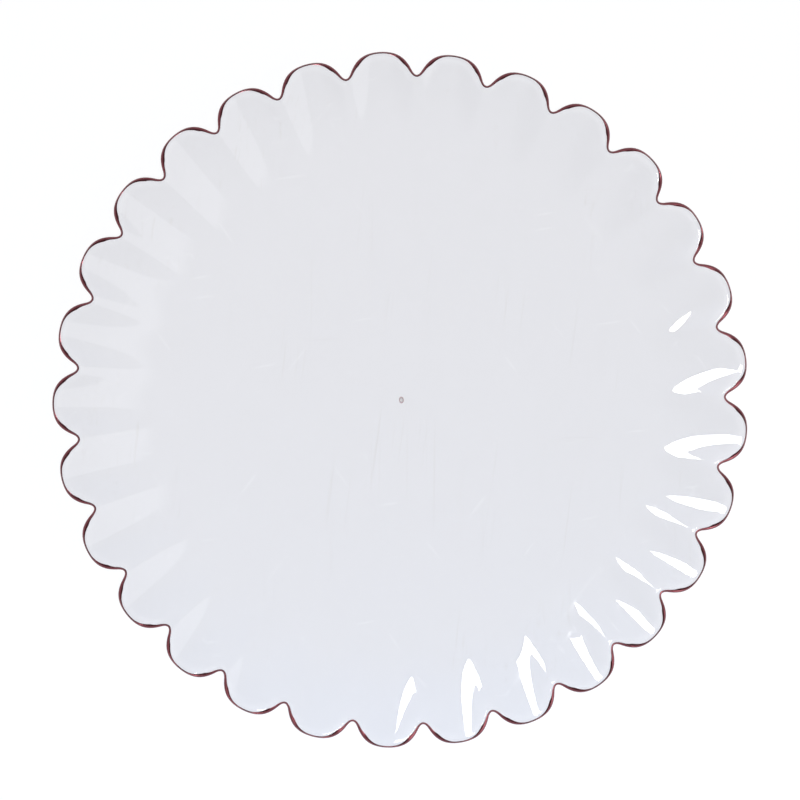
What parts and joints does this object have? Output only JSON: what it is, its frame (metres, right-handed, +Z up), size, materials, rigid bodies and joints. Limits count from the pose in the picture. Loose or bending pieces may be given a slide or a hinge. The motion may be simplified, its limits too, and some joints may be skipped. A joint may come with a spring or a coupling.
{
  "type": "scalloped dessert plate",
  "caption": "Clear moulded dessert plate with a flat well, a fluted wall and a rim of rounded petals with a rose metallic edge.",
  "frame": {"origin": "on the table, under the middle of the flat well", "axes": "+Z up, square to the well; +Y through the tip of one petal"},
  "size_m": [0.1998, 0.1995, 0.0113],
  "materials": {
    "clear_plastic": "clear glossy moulded polystyrene with light scuffs in the well",
    "rose_foil": "rose metallic hot-stamped foil, polished"
  },
  "bodies": {
    "root": {"plate_body": "clear_plastic", "rim_foil": "rose_foil", "gate_foil_dot": "rose_foil"}
  },
  "joints": []
}
